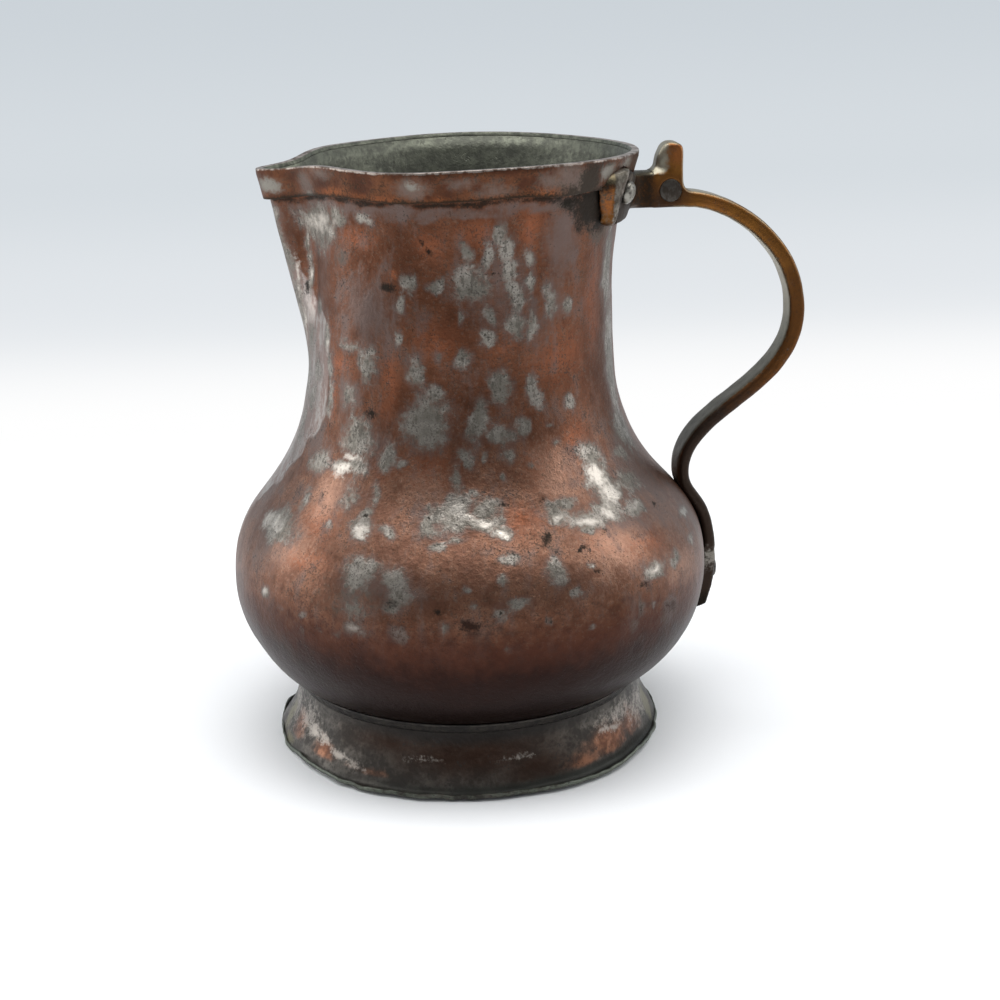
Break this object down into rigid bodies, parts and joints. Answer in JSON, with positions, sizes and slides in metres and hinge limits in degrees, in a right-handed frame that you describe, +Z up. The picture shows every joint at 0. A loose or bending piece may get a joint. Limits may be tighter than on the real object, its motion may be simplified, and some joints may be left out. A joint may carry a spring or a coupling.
{
  "type": "pitcher",
  "caption": "Hand-raised copper pitcher with a round belly, pinched spout, folded rim band, flared foot ring and a cast brass loop handle riveted to the neck and belly.",
  "frame": {"origin": "on the ground under the middle of the footprint box, which also spans the handle and the spout", "axes": "+Z up, +X toward the handle, -X toward the spout"},
  "size_m": [0.1958, 0.1616, 0.2012],
  "materials": {
    "raised_copper": "aged satin copper with worn tin patches, tinned inside",
    "band_copper": "aged satin copper",
    "foot_copper": "dull copper under worn tin",
    "tin": "dull grey tin solder",
    "cast_brass": "dark aged cast brass",
    "rivet_metal": "dull tinned rivet",
    "pin_iron": "dull grey"
  },
  "bodies": {
    "root": {"body": "raised_copper", "rim_band": "band_copper", "foot_ring": "foot_copper", "foot_solder": "tin", "handle": "cast_brass", "saddle_rivet_near": "rivet_metal", "saddle_rivet_far": "rivet_metal", "tab_rivet": "rivet_metal", "cross_pin": "pin_iron"}
  },
  "joints": []
}
